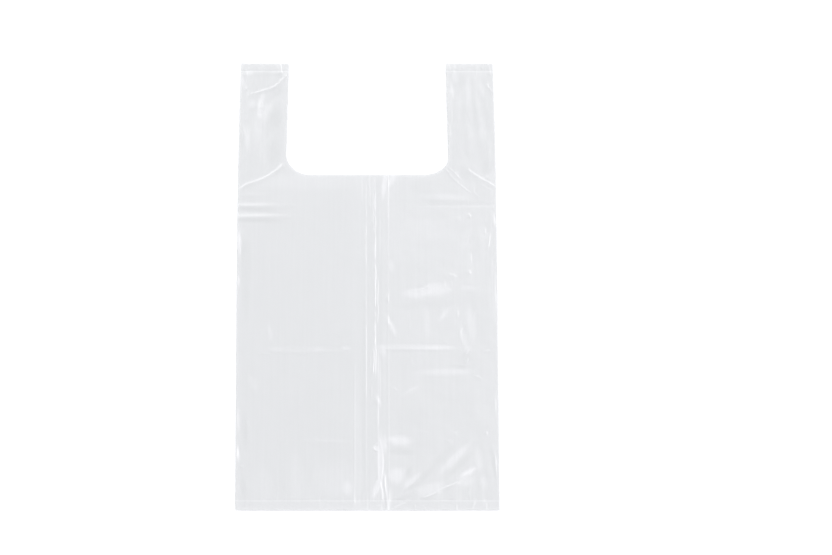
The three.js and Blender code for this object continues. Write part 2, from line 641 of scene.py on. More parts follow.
def middle_strip(plan: BagPlan) -> Area:
    """Describes the long straight creases down the middle, where the pack was folded lengthwise.

    The front panel bends over the inner folds of the two gussets below it, and several finer
    lines between them come and go along the bag.

    Args:
        plan: the bag's flat plan.

    Returns:
        The strip's creases and facets.
    """
    mouth = plan.mouth_floor
    right, left = plan.right_tip + 0.2, plan.left_tip + 0.9
    whole = [
        down(right, mouth, 0, 9, 0.9, gentle=0.9, fade=(0, 0)),
        down(right, mouth, 318, 11, 1.0, gentle=1.0, fade=(0, 0.3)),
        down(right, 330, 296, 6, 1.0, gentle=1.0),
        down(right, 305, 284, 5, 1.0, gentle=1.0),
        down(right, 216, 205, 14, 1.3),
        down(right, 195, 180, 13, 1.3),
        down(left, 148, 4, 9, 0.8, gentle=0.8, fade=(0.1, 0.02)),
        down(left, 70, 8, 6, 1.0, gentle=0.7),
        down(-1.2, 335, 8, 7, 0.9, gentle=0.9, fade=(0.02, 0.05)),
        down(-1.6, 215, 198, 9, 0.9),
        down(-1.2, 187, 106, 9, 0.9, gentle=1.6, fade=(0.1, 0.1)),
        Crease(((-3.8, 5), (-3.8, 205)), 2, 2.6, 4.0, (0.1, 0.1)),
        down(-5.5, 336, 308, 8),
        down(-5.5, 152, 128, 8),
        down(16.8, 304, 88, 2, 3.0, gentle=3.0, fade=(0.1, 0.1)),
        down(12.6, 303, 247, 10),
        down(12.6, 153, 97, 12),
        down(10.7, 162, 118, 15),
        down(10.7, 117, 69, 15),
    ]
    # Place, upper and lower end, and lean of the fine lines that wander
    strays = (
        (7.6, 337, 296, 17), (8.0, 300, 246, 20), (8.2, 248, 198, 26), (7.8, 200, 160, 20),
        (8.4, 162, 132, 22), (5.8, 336, 282, 16), (6.2, 160, 132, 24), (5.4, 262, 226, 8),
        (2.4, 337, 300, 15), (2.2, 232, 176, 6), (-1.4, 330, 290, 8), (-1.7, 286, 242, 14),
        (10.4, 232, 180, 17), (3.0, 152, 140, 12), (4.0, 122, 109, 13), (9.8, 100, 76, 8),
    )
    whole += [wandering(*stray, seed) for seed, stray in enumerate(strays, 1)]
    whole += [
        Crease(((9, 113), (13, 103)), 15, 1.8),
        Crease(((17, mouth), (15.6, 324), (13.9, 309)), 4, 3.2, 3.2, (0, 0.4)),
        Crease(((25.6, mouth), (23.6, 330), (21.8, 323)), 5, 4.6, 3.4, (0, 0.4)),
        Crease(((15.5, 164), (15.5, 150)), 6, 3.4, 2.4),
    ]
    # Most of these facets have no lean and only change the tint: thin pale lines along the creases, as
    # painted highlights, and a broad band and a line darker, as painted shade.
    facets = [
        Facet((4, 170), (180, 14), -0.08),
        Facet((17, 326), (14, 2.6), 0.5, 1, turn=84, facing=40),
        Facet((24.5, 331), (8, 3), 0.45, 1, turn=60, facing=40),
        Facet((16.8, 195), (104, 1.9), 0.1, 1),
        Facet((15.5, 157), (7, 4), 0.2, 2, facing=30),
        Facet((11, 108), (6, 2.4), 0.25, 3, turn=115),
        Facet((-3.8, 105), (98, 1.8), -0.08),
        Facet((-9.5, 68), (62, 3.4), 0.12, 0.6),
        Facet((-1.2, 172), (165, 0.9), 0.18),
        Facet((10.8, 206), (26, 0.8), 0.3),
        Facet((10.8, 140), (25, 0.8), 0.35),
        Facet((10.8, 93), (27, 0.8), 0.35),
        Facet((6.2, 146), (14, 0.7), 0.4),
        Facet((6.2, 298), (17, 0.7), 0.25),
        Facet((2.1, 328), (11, 0.7), 0.2),
        Facet((12.7, 275), (30, 0.7), 0.2),
        Facet((12.7, 126), (30, 0.7), 0.3),
        Facet((-5.5, 322), (14, 0.8), 0.25),
        Facet((21.4, 270), (66, 0.8), 0.15),
        Facet((21.4, 90), (86, 0.7), 0.15),
        Facet((-12.5, 78), (72, 0.8), 0.1),
    ]
    # The broken line's dashes, from the top down: pale marks painted on the tint, with no relief of their own
    dashes = ((316, 298), (269, 248), (243, 213), (213, 203), (187, 176), (172, 158), (157, 133))
    for top, foot in dashes:
        facets.append(Facet((8, (top + foot) / 2), ((top - foot) / 1.7, 0.9), 0.55))
    return Area([replace(crease, fine=False) for crease in whole], facets)


def foot_pleat() -> Area:
    """Describes the crumpled pleat at the middle of the foot, and the tuck beside it.

    Returns:
        Its creases and facets.
    """
    creases = [
        Crease(((10.6, 76), (10.8, 56), (10.9, 42), (10.4, 27)), 13, 0.9, 0.8, (0.15, 0.1)),
        Crease(((11.4, 72), (14.2, 60), (15.4, 50), (15.1, 40), (13.8, 27)), 13, 1.1, 1.6, (0.1, 0.1)),
        Crease(((16.2, 22), (17.4, 50), (15.8, 61)), 12, 1.0, 2.0, (0.2, 0.3)),
        Crease(((10.6, 29), (8.6, 21), (6.0, 13)), 13, 1.0, 1.6, (0.1, 0.15)),
        Crease(((11.6, 27), (10.4, 20), (8.6, 14)), 11, 0.9, 1.2, (0.1, 0.15)),
        Crease(((13, 31), (13.5, 23), (15, 18), (14.7, 9)), 14, 1.1, 1.2, (0.15, 0.1)),
        Crease(((10.4, 65), (6.6, 60.6), (10.2, 57.2)), 16, 1.0, 1.2, (0.1, 0.1)),
        down(7.8, 57, 44, 6),
        Crease(((17, 38), (17.2, 30), (18.2, 20), (19.2, 14), (19.5, 10), (19.9, 0)), 18, 1.6, 1.2,
               (0.15, 0)),
        down(17.7, 71, 55, 8, 1.3),
        down(17.3, 81, 69, 7, 1.2),
        Crease(((5, 10.5), (15, 10.5)), 9, 0.8),
        down(-6.5, 8, 0, 8, fade=(0.3, 0)),
        down(0, 8, 0, 8, fade=(0.3, 0)),
        Crease(((8.2, 4), (7.4, 6.2), (5.5, 7), (3.6, 6.2), (2.8, 4), (4, 1.6), (6.6, 1.4)), 9, 0.8, 1.1),
        down(8, 10, 6, 8),
        down(13.8, 5.5, 0, 10, 1.6, fade=(0.3, 0)),
    ]
    facets = [
        Facet((12.9, 48), (26, 3.4), 0.8),
        Facet((8.8, 21), (10, 2.8), 0.7, 1, turn=72),
        Facet((14.4, 18), (10, 1.6), 0.34, 3, turn=95),
        Facet((18.6, 18), (20, 1.8), 0.42, 2, turn=94),
        Facet((8.4, 60.5), (3.4, 2.6), 0.42, 3, turn=0),
        Facet((17.5, 64), (10, 2.6), 0.3, 5),
    ]
    return Area(creases, facets)


def right_side() -> Area:
    """Describes the right half, which lies looser, from its handle to mid-height.

    Returns:
        Its creases and facets.
    """
    creases = [
        # Where the pack was folded across
        Crease(((16.5, 159.3), (40, 159.5), (84, 159.3)), 8, 1.3, 2.6, (0.05, 0.5)),
        Crease(((21.5, 190), (28, 173)), 9, 1.6),
        down(93, 296, 287, 9, 1.4),
        Crease(((102, 299), (104.5, 291)), 17, 1.2),
        Crease(((105, 282), (99, 265)), 13, 1.4),
        down(104, 258, 245, 13, 1.2),
        down(103, 240, 233, 15, 1.2),
        down(118.5, 284, 274, 16, 1.2),
        Crease(((124, 283), (121.5, 263), (119, 254)), 16, 1.1),
        down(127.2, 301, 279, 16, 1.2, gentle=1.5),
        down(128.6, 296, 279, 14, 1.0),
        Crease(((127, 251), (128, 215), (128.6, 189)), 11, 1.3, 1.8),
        down(126.8, 116, 91, 12, 1.3, gentle=1.8),
        Crease(((80, 236), (91, 232.5)), 14, 1.4),
        down(78, 231, 219, 11, 1.2),
        down(85, 229, 219, 11, 1.2),
        Crease(((38, 217.5), (57, 220.5), (66, 226), (77, 231)), 12, 1.3, 2.4),
        Crease(((72, 186), (80, 199)), 8, 1.5),
        down(90.5, 200, 189, 11, 1.2),
        Crease(((102, 188), (95, 180), (93, 175), (96, 157)), 9, 1.2),
        down(42.5, 193, 174, 5),
        Crease(((104, 162), (95, 150)), 11, 1.2),
        Crease(((101, 152), (99, 146), (95, 143)), 14, 1.0),
        Crease(((114, 155.5), (118, 157.5), (125, 157.3)), 14, 1.0),
        Crease(((36, 113), (43, 118), (52, 123)), 8, 1.4),
        Crease(((24, 122), (31, 117)), 11, 1.2),
        Crease(((104, 133), (110, 131.5), (115, 128.5)), 14, 1.2),
        down(44, 152, 142, 8, 1.0),
    ]
    facets = [
        Facet((50, 161), (38, 3.2), 0.28, 4, turn=0, facing=5),
        Facet((71, 160.6), (15, 3.2), 0.15, 3, turn=0, facing=5),
        Facet((24.5, 181), (10, 3), 0.3, 5, turn=112),
        Facet((49, 215.5), (14, 5), 0.42, 4, turn=6, facing=20),
        Facet((70, 219.5), (15, 7), 0.4, 4, turn=12, facing=30),
        Facet((60, 204), (30, 5), -0.1, 1, turn=6, facing=190),
        Facet((101, 220.5), (8, 3), 0.21, 5, turn=0, facing=20),
        Facet((24, 243), (7, 3), 0.26, 5, facing=50),
        Facet((59.5, 186), (16, 3.2), 0.2, 3),
        Facet((76, 193), (9, 2.6), 0.26, 5, turn=60, facing=320),
        Facet((103.5, 185), (18, 5), 0.2, 4),
        Facet((96, 170), (14, 3), 0.17, 3, turn=100),
        Facet((78, 136), (27, 3.4), 0.3, 5, turn=3, facing=10),
        Facet((91, 141.5), (10, 2.2), -0.2, 4, turn=0, facing=190),
        Facet((44, 118), (11, 3), 0.13, 3, turn=30, facing=330),
        Facet((98, 270), (18, 4), 0.1, 2, turn=70),
        Facet((103, 245), (22, 3), 0.13, 2),
        Facet((116, 268), (20, 4), 0.12, 3, turn=85),
        Facet((97, 150), (10, 5), -0.08, 2, turn=60, facing=190),
        Facet((60, 280), (30, 14), 0.07, 0.6, turn=0, facing=20),
        Facet((70, 95), (40, 14), -0.05, 0.6, turn=10, facing=20),
        Facet((126.5, 220), (34, 2.4), 0.15, 3, facing=75),
    ]
    return Area(creases, facets)


def right_corner() -> Area:
    """Describes the crumpling towards the right corner of the foot.

    Returns:
        Its creases and facets.
    """
    creases = [
        Crease(((21.5, 70), (25.5, 69)), 9, 1.4),
        Crease(((45, 77), (64, 77)), 5, 1.5),
        Crease(((83, 76), (91, 76)), 7, 1.5),
        Crease(((76, 68), (85, 68)), 7, 1.5),
        Crease(((36, 20.5), (45, 27), (52, 36)), 9, 2.0),
        Crease(((22, 10.5), (38, 15.5), (47, 20), (54, 23)), 13, 2.4, 2.4, (0.3, 0.2)),
        Crease(((52, 11), (65, 16), (75, 21.5), (85, 25.5), (92, 29)), 20, 1.1, 2.0, (0.1, 0.1)),
        Crease(((90, 31.5), (98, 35.5), (103, 38), (108, 42.5)), 12, 1.8, 2.2, (0.2, 0.2)),
        down(118, 78, 73, 12, 1.2),
        Crease(((124.5, 62), (126.5, 50), (127, 35), (128.5, 26)), 14, 1.1, 1.6),
        down(100, 20, 11, 9, 1.0),
        Crease(((23, 0), (31, 4.5), (40, 8)), 12, 1.1, fade=(0, 0.2)),
        down(47, 7, 0, 12, 1.0, fade=(0.3, 0)),
        down(57, 3, 0, 12, 1.0, fade=(0.3, 0)),
        down(88, 6, 0, 12, 1.0, fade=(0.3, 0)),
        Crease(((106, 9), (103, 0)), 12, 1.0, fade=(0.3, 0)),
        down(117, 8, 0, 10, 1.0, fade=(0.3, 0)),
    ]
    facets = [
        Facet((32, 68), (12.5, 5), 0.47, 6, turn=0, facing=20),
        Facet((33, 57), (14, 3.6), -0.2, 3, turn=0, facing=195),
        Facet((86, 50.5), (21, 3.4), 0.47, 6, turn=45, facing=325),
        Facet((92, 45), (18, 3), -0.2, 3, turn=45, facing=150),
        Facet((74, 52), (16, 4), -0.15, 2, turn=45, facing=150),
        Facet((30, 33), (9.5, 8.5), 0.51, 4, turn=0, facing=30),
        Facet((37.5, 33), (12, 2.6), -0.3, 4, turn=56, facing=150),
        Facet((44, 28.5), (11, 3), 0.47, 4, turn=42, facing=320),
        Facet((52, 30), (17, 4), -0.23, 3, turn=42, facing=150),
        Facet((62, 20.5), (13, 6), 0.38, 4, turn=18, facing=335),
        Facet((98.5, 36), (10, 3.4), 0.62, 5, turn=35, facing=330),
        Facet((97.5, 27.5), (8, 4.4), 0.34, 4, turn=20, facing=330),
        Facet((114.5, 26.5), (7, 3.6), 0.3, 5, facing=50),
        Facet((109.5, 49), (13, 3), 0.3, 5),
        Facet((118, 75), (2, 1), 0.4),
        Facet((124, 44), (18, 1.8), -0.2, 2, turn=95, facing=215),
    ]
    return Area(creases, facets)


@dataclass
class FilmShell:
    """The bag's film as one open shell of four plies, with its creases pressed in.

    A zone is where the grid is finer, as its two ends and its spacing. The painted sheen runs
    from 0, the film's plain tint, to 1, its palest: painted highlight, held back by painted shade.
    """

    plan: BagPlan
    areas: list[Area] = field(default_factory=list)
    film: float = 0.3

    # The grid's spacings, the steps of a fold's half turn, and the grid's zones: over the left
    # gusset's fold, from the middle to past the right one's, inside the side folds, about each
    # weld, at the cross creases and at the mouth
    step: float = 2.4
    row_step: float = 2.2
    leaf_step: float = 10.0
    back_step: float = 5.0
    hem_step: float = 1.0
    fold_steps: int = 4
    left_tip_zone: Zone = (-1.6, 2.4, 0.5)
    middle_zone: Zone = (-6.6, 2.6, 0.45)
    side_zone: Zone = (0.0, 8.0, 0.9)
    weld_zones: tuple[Zone, ...] = ((-2.4, -1.2, 0.6), (-1.2, 0.6, 0.3), (0.6, 2.4, 0.6))
    cross_zones: tuple[Zone, ...] = ((155, 168, 1.0), (288, 312, 1.3))
    mouth_zone: Zone = (-2.0, 6.0, 1.0)

    # Faces beside creases with a steep flank under each of these widths are split, down to the
    # finest spacing, out to the margin past the crease
    split_widths: Point = (2.3, 1.25)
    split_step: float = 0.75
    split_gentle: float = 1.4
    split_margin: float = 0.3

    # Corners nearer than this are one corner
    same_spot: float = 0.01

    # Welds pull the plies together and leave a fine bead on the front
    weld_reach: float = 1.5
    weld_level: float = 1.7
    weld_rise: float = 0.04
    weld_pinch: float = 0.3
    bead_height: float = 0.09
    bead_width: float = 0.5
    bead_drop: float = 0.4
    bead_depth: float = 0.3
    bead_waves: Point = (7.0, 17.0)
    bead_start: float = 1.0

    # Side folds hold the film straighter than its middle, and spring up into a soft edge
    side_hold: float = 0.6
    side_reach: float = 4.0
    edge_height: float = 0.22
    edge_width: float = 1.6
    edge_inset: float = 1.0
    edge_depth: float = 0.45
    edge_waves: Point = (19.0, 47.0)
    edge_starts: Point = (1.7, 0.6)

    # The front panel's sink between the two gussets, the creases' share on each ply, and the
    # height that no ply sinks below, with what each ply adds to it
    sink: float = 0.16
    sink_reach: Point = (14.0, 4.0)
    share: tuple[float, ...] = (0.04, 0.3, 0.65, 1.0)
    least_height: float = 0.04
    least_gap: float = 0.03

    # The sides bow out between the drawn-in welds, and the right handle's end draws in
    bow_left: float = 1.4
    bow_right: float = 0.7
    bow_powers: Point = (1.6, 0.9)
    bow_scale: float = 5.6
    bow_inset: Point = (0.2, 0.1)
    bow_from: float = 60.0
    draw_in: float = 0.9
    draw_from: float = 0.75

    # Painted sheen on the left and the right half, the handles and the left of the foot, and over
    # how far one gives way to the next: the right half is painted paler, as painted sheen
    sheen_left: float = 0.27
    sheen_right: float = 0.36
    sheen_handles: float = 0.22
    sheen_foot: float = 0.12
    right_blend: float = 8.0
    handle_blend: float = 25.0
    foot_fade: float = 35.0

    @property
    def creases(self) -> list[Crease]:
        """All the bag's creases."""
        return [crease for area in self.areas for crease in area.creases]

    @property
    def facets(self) -> list[Facet]:
        """All the bag's facets."""
        return [facet for area in self.areas for facet in area.facets]

    @property
    def pitch(self) -> float:
        """Distance between one ply and the next."""
        return (self.plan.thickness - self.film) / (self.plan.plies - 1)

    def ring(self) -> tuple[np.ndarray, np.ndarray]:
        """Walks round the folded tube, from the front panel's left edge.

        Returns:
            Each station's x, and its ply as a level from 0, the back panel, to 3, the front.
        """
        plan, half = self.plan, self.pitch / 2
        side = plan.side - half
        tip, middle, edge = self.left_tip_zone, self.middle_zone, self.side_zone
        fine = (
            (plan.left_tip + tip[0], plan.left_tip + tip[1], tip[2]),
            (middle[0], plan.right_tip + middle[1], middle[2]),
            (edge[0] - side, edge[1] - side, edge[2]),
            (side - edge[1], side - edge[0], edge[2]),
        )
        front = graded(-side, side, self.step, fine)
        back = graded(-side, side, self.back_step)
        right = graded(plan.right_tip + half, side, self.leaf_step)
        left = graded(-side, plan.left_tip - half, self.leaf_step)
        runs = [
            self.strip(front, 3),
            self.fold(side, 2.5, 90, -90),
            self.strip(right[::-1], 2),
            self.fold(plan.right_tip + half, 1.5, 90, 270),
            self.strip(right, 1),
            self.fold(side, 0.5, 90, -90),
            self.strip(back[::-1], 0),
            self.fold(-side, 0.5, 270, 90),
            self.strip(left, 1),
            self.fold(plan.left_tip - half, 1.5, -90, 90),
            self.strip(left[::-1], 2),
            self.fold(-side, 2.5, 270, 90),
        ]
        return np.concatenate([r[0] for r in runs]), np.concatenate([r[1] for r in runs])

    @staticmethod
    def strip(x: np.ndarray, level: int) -> tuple[np.ndarray, np.ndarray]:
        """Gives a flat ply's stations."""
        return x, np.full(len(x), float(level))

    def fold(self, x: float, level: float, start: float, end: float) -> tuple[np.ndarray, np.ndarray]:
        """Gives the stations of a half turn between two plies, without its ends.

        Args:
            x: the turn's centre.
            level: the turn's centre, between the two plies.
            start: angle of the first ply, in degrees.
            end: angle of the second ply.

        Returns:
            Each station's x and level.
        """
        turn = np.radians(np.linspace(start, end, self.fold_steps + 1)[1:-1])
        return x + self.pitch / 2 * np.cos(turn), level + np.sin(turn) / 2

    def rows(self) -> np.ndarray:
        """Spaces the grid's rows along the bag.

        Returns:
            Their heights, from the foot edge to the handle ends.
        """
        plan = self.plan
        low, high = plan.welds
        beside, mouth = self.weld_zones[-1][1], self.mouth_zone
        fine = [(weld + a, weld + b, step) for weld in plan.welds for a, b, step in self.weld_zones]
        fine += [
            (0, low - beside, self.hem_step),
            *self.cross_zones,
            (plan.mouth_floor + mouth[0], plan.mouth_floor + mouth[1], mouth[2]),
            (high + beside, plan.length, self.hem_step),
        ]
        return graded(0.0, plan.length, self.row_step, fine)

    def heights(self, x: np.ndarray, y: np.ndarray, level: np.ndarray) -> np.ndarray:
        """Gives the height of every point of the film above the surface it lies on.

        Args:
            x: places across the bag.
            y: places along the bag.
            level: the ply at each place, from 0 to 3.

        Returns:
            The heights, in millimetres.
        """
        plan, top = self.plan, self.plan.plies - 1
        relief = np.zeros_like(x)
        for crease in [*self.creases, *self.facets]:
            relief += crease.relief(x, y)
        share = np.interp(level, range(plan.plies), self.share)
        relief *= 1 - self.side_hold * smooth_step((np.abs(x) - plan.side) / self.side_reach + 1)
        z = self.film / 2 + level * self.pitch
        # No leaf lies under the middle of the front panel, so it sinks a little there.
        front = smooth_step(level - top + 1)
        from_left, from_right = (x - plan.left_tip, plan.right_tip - x)
        span = smooth_step(from_left / self.sink_reach[0]) * smooth_step(from_right / self.sink_reach[1])
        z -= self.sink * span * front
        edge = np.exp(-(((plan.side - self.edge_inset - np.abs(x)) / self.edge_width) ** 2))
        starts = (self.edge_starts[0] * np.sign(x), self.edge_starts[1])
        wave = uneven(y, self.edge_depth, self.edge_waves, starts)
        z += self.edge_height * edge * wave * smooth_step(level / top)
        for weld in plan.welds:
            pinch = np.exp(-(((y - weld) / self.weld_reach) ** 2))
            z += (self.weld_level + self.weld_rise * level - z) * self.weld_pinch * pinch
            beading = uneven(x, self.bead_depth, self.bead_waves, (0.0, self.bead_start))
            bead = np.exp(-(((y - weld + self.bead_drop) / self.bead_width) ** 2))
            z += self.bead_height * beading * bead * front
        z += share * relief
        return np.maximum(z, self.least_height + self.least_gap * level)

    def looseness(self, x: np.ndarray, y: np.ndarray) -> np.ndarray:
        """Gives the painted sheen all over the bag: how far the film's tint is painted paler, as painted
        highlight, or held darker where facets carry painted shade.

        Args:
            x: places across the bag.
            y: places along the bag.

        Returns:
            Shares from 0, the film's plain tint, to 1, its palest painted sheen.
        """
        right = smooth_step((x - self.plan.right_tip) / self.right_blend + 0.5)
        handle = smooth_step((y - self.plan.mouth_floor) / self.handle_blend)
        share = self.sheen_left + (self.sheen_right - self.sheen_left) * right
        share += (self.sheen_handles - share) * handle
        share += self.sheen_foot * np.exp(-y / self.foot_fade) * (1 - right)
        for facet in self.facets:
            share += facet.painted_light * facet.window(x, y)
        return np.clip(share, 0.0, 1.0)

    def sideways(self, x: np.ndarray, y: np.ndarray) -> np.ndarray:
        """Gives how far the film lies out from its straight plan, between its drawn-in welds.

        Args:
            x: places across the bag.
            y: places along the bag.

        Returns:
            The move in x, in millimetres.
        """
        t = y / self.plan.length
        rise, fall = self.bow_powers
        bow = self.bow_scale * t**rise * (1 - t) ** fall
        left, right = self.bow_inset
        moved = np.where(x < 0, left - self.bow_left * bow, right + self.bow_right * bow)
        drawn = self.draw_in * smooth_step((t - self.draw_from) / (1 - self.draw_from))
        moved -= np.where(x > 0, drawn, 0.0)
        return moved * smooth_step((np.abs(x) - self.bow_from) / (self.plan.side - self.bow_from))

    def build(self) -> bpy.types.Object:
        """Makes the shell, with its flat map and a number for each ply.

        Returns:
            The film, in metres in the model's frame.
        """
        ring_x, ring_level = self.ring()
        rows = self.rows()
        columns, count = len(ring_x), len(rows)
        x = np.repeat(ring_x[:, None], count, 1)
        y = np.repeat(rows[None, :], columns, 0)
        level = np.repeat(ring_level[:, None], count, 1)
        kept, x, y = self.cut_mouth(x, y, self.plan.mouth_outline())

        following = (np.arange(columns) + 1) % columns
        first, second = np.arange(columns)[:, None] * count, following[:, None] * count
        row = np.arange(count - 1)[None, :]
        quads = np.stack([first + row, second + row, second + row + 1, first + row + 1], 2)
        quads = quads[kept]
        step_x = np.diff(ring_x, append=ring_x[:1])
        step_z = np.diff(ring_level, append=ring_level[:1]) * self.pitch
        around = np.concatenate([[0.0], np.cumsum(np.hypot(step_x, step_z))])
        column = np.broadcast_to(np.arange(columns)[:, None], (columns, count - 1))[kept]
        u = np.stack([around[column], around[column + 1], around[column + 1], around[column]], 1)
        v = y.ravel()[quads]
        used = np.unique(quads)
        fresh = np.full(columns * count, -1)
        fresh[used] = np.arange(len(used))

        mesh = bpy.data.meshes.new("bag_film")
        spots = np.stack([x, y, level], 2).reshape(-1, 3)[used]
        mesh.from_pydata(spots.tolist(), [], fresh[quads].tolist())
        flat = mesh.uv_layers.new(name="film_flat")
        flat.data.foreach_set("uv", (np.stack([u, v], 2) * MM).astype(np.float32).ravel())
        self.refine(mesh)
        self.press(mesh)
        film = bpy.data.objects.new("bag_film", mesh)
        bpy.context.scene.collection.objects.link(film)
        return film

    def refine(self, mesh: bpy.types.Mesh) -> None:
        """Splits the front panel's faces that lie along fine creases.

        Args:
            mesh: the shell laid out as x, y and level.
        """
        solid = bmesh.new()
        solid.from_mesh(mesh)
        # Corners that were drawn onto one spot of the cut become one corner.
        bmesh.ops.dissolve_degenerate(solid, dist=self.same_spot, edges=solid.edges)
        front = self.plan.plies - 1 - self.same_spot
        for widest in self.split_widths:
            fine = [crease for crease in self.creases if crease.fine and crease.steep < widest]
            edges = [e for e in solid.edges if min(v.co.z for v in e.verts) > front]
            ends = np.array([[v.co.xy for v in e.verts] for e in edges])
            middle = ends.mean(1)
            length = np.linalg.norm(ends[:, 0] - ends[:, 1], axis=1)
            near = np.zeros(len(edges), bool)
            for crease in fine:
                line = crease.line()
                reach = crease.steep / 2 + min(crease.easy, self.split_gentle) + self.split_margin
                low, high = line.min(0) - reach, line.max(0) + reach
                box = ((middle > low) & (middle < high)).all(1) & ~near
                if box.any():
                    signed, _, _ = crease.measure(middle[box])
                    near[np.flatnonzero(box)[np.abs(signed) < reach]] = True
            chosen = [e for e, n, s in zip(edges, near, length) if n and s > self.split_step]
            bmesh.ops.subdivide_edges(solid, edges=chosen, cuts=1, use_grid_fill=True)
        solid.to_mesh(mesh)
        solid.free()

    def press(self, mesh: bpy.types.Mesh) -> None:
        """Lays the shell down as film: its levels turn to heights, with every crease pressed in.

        Args:
            mesh: the shell laid out as x, y and level, which becomes metres in the model's frame.
        """
        spots = np.empty(len(mesh.vertices) * 3, np.float32)
        mesh.vertices.foreach_get("co", spots)
        x, y, level = spots.reshape(-1, 3).T.astype(float)
        z = self.heights(x, y, level)
        place = np.stack([x + self.sideways(x, y), y - self.plan.length / 2, z], 1) * MM
        mesh.vertices.foreach_set("co", place.astype(np.float32).ravel())
        # The second attribute holds painted sheen and painted shade, which the film's tint reads.
        for name, values in (("ply", level), ("looseness", self.looseness(x, y))):
            layer = mesh.attributes.new(name, "FLOAT", "POINT")
            layer.data.foreach_set("value", values.astype(np.float32))
        mesh.polygons.foreach_set("use_smooth", [True] * len(mesh.polygons))
        mesh.update()

    def cut_mouth(
        self, x: np.ndarray, y: np.ndarray, outline: np.ndarray
    ) -> tuple[np.ndarray, np.ndarray, np.ndarray]:
        """Cuts the U out of every ply and draws the cut edges onto its outline.

        Args:
            x: the grid's places across the bag.
            y: the grid's places along it.
            outline: points close together along the cut.

        Returns:
            Which cells are kept, and the grid's x and y with the cut edges moved.
        """
        middle_x = (x[:, :-1] + np.roll(x, -1, 0)[:, :-1]) / 2
        middle_y = (y[:, :-1] + y[:, 1:]) / 2
        left, right = outline[outline[:, 0] < 0], outline[outline[:, 0] > 0]
        left_side = np.interp(-middle_y, -left[:, 1], left[:, 0])
        right_side = np.interp(middle_y, right[:, 1], right[:, 0])
        across = (middle_x > left_side) & (middle_x < right_side)
        within = across & (middle_y > self.plan.mouth_floor)
        touched, held = np.zeros_like(x, bool), np.zeros_like(x, bool)
        for mask, target in ((within, touched), (~within, held)):
            for cells in (mask, np.roll(mask, 1, 0)):
                target[:, :-1] |= cells
                target[:, 1:] |= cells
        edge = touched & held
        x, y = x.copy(), y.copy()
        spots = np.stack([x[edge], y[edge]], 1)
        top = spots[:, 1] > self.plan.length - TINY
        moved = outline[((spots[:, None, :] - outline[None, :, :]) ** 2).sum(2).argmin(1)]
        moved[top, 0] = np.where(spots[top, 0] < 0, outline[0, 0], outline[-1, 0])
        moved[top, 1] = self.plan.length
        x[edge], y[edge] = moved[:, 0], moved[:, 1]
        return ~within, x, y


@dataclass(frozen=True)
class FilmFinish:
    """Thin polythene film: a soft shine, a slight haze, faint lines along the draw, and painted sheen.

    Pitches and heights are millimetres. Real draw lines and crinkle are a few tenths of a
    millimetre apart, too fine to show, so both are drawn about ten times as coarse.
    """

    name: str
    # The first tint is the film's own; the second is the paler tint that painted sheen mixes in.
    plain_tint: str
    sheen_tint: str
    cover: float
    roughness: float = 0.3
    draw_pitch: float = 2.2
    draw_length: float = 90.0
    draw_height: float = 0.008
    crinkle_pitch: float = 6.0
    crinkle_height: float = 0.015
    cloud_pitch: float = 60.0
    noise_range: Point = (0.25, 0.75)
    streaking: float = 0.24
    clouding: float = 0.12

    def make(self) -> bpy.types.Material:
        """Builds the material.

        Returns:
            The material, with its relief and tint worked out on the film's own flat map.
        """
        material = bpy.data.materials.new(self.name)
        material.use_nodes = True
        tree = material.node_tree
        tree.nodes.clear()
        flat = add_node(tree, "ShaderNodeUVMap", {"uv_map": "film_flat"}).outputs["UV"]
        scale = (1 / (self.draw_pitch * MM), 1 / (self.draw_length * MM), 1)
        lengthwise = add_node(tree, "ShaderNodeMapping", inputs={"Vector": flat, "Scale": scale})
        draw, crinkle, clouds = (
            add_node(tree, NOISE, inputs={"Vector": way, "Scale": size, "Detail": detail}).outputs["Fac"]
            for way, size, detail in (
                (lengthwise.outputs["Vector"], 1.0, 3.0),
                (flat, 1 / (self.crinkle_pitch * MM), 4.0),
                (flat, 1 / (self.cloud_pitch * MM), 2.0),
            )
        )
        relief = {"Strength": 1.0, "Distance": self.draw_height * MM, "Height": draw}
        lines = add_node(tree, "ShaderNodeBump", inputs=relief).outputs["Normal"]
        relief = {"Distance": self.crinkle_height * MM, "Height": crinkle, "Normal": lines}
        bump = add_node(tree, "ShaderNodeBump", inputs={"Strength": 1.0, **relief}).outputs["Normal"]

        # Painted sheen: the tint is painted paler by the sheen map on the mesh, in streaks along the draw,
        # with faint random clouds of tone on top.
        loose = add_node(tree, "ShaderNodeAttribute", {"attribute_name": "looseness"}).outputs["Fac"]
        low, high = self.noise_range
        span = {"From Min": low, "From Max": high, "To Min": 1 - self.streaking, "To Max": 1 + self.streaking}
        streaks = add_node(tree, RAMP, inputs={"Value": draw, **span}).outputs["Result"]
        streaked = add_node(tree, MATH, {"operation": "MULTIPLY"}, {0: loose, 1: streaks}).outputs[0]
        spread = {0: clouds, 1: self.clouding, 2: -self.clouding / 2}
        cloudy = add_node(tree, MATH, {"operation": "MULTIPLY_ADD"}, spread).outputs[0]
        clamped = {"operation": "ADD", "use_clamp": True}
        amount = add_node(tree, MATH, clamped, {0: streaked, 1: cloudy}).outputs[0]
        colours = {0: amount, 6: srgb(self.plain_tint), 7: srgb(self.sheen_tint)}
        tint = add_node(tree, "ShaderNodeMix", {"data_type": "RGBA"}, colours).outputs[2]
        film = add_node(
            tree, "ShaderNodeBsdfPrincipled",
            inputs={
                "Base Color": tint,
                "Roughness": self.roughness,
                "IOR": 1.5,
                "Specular IOR Level": 1.0,
                "Alpha": self.cover,
                "Normal": bump,
            },
        )
        add_node(tree, "ShaderNodeOutputMaterial", inputs={"Surface": film.outputs["BSDF"]})
        return material


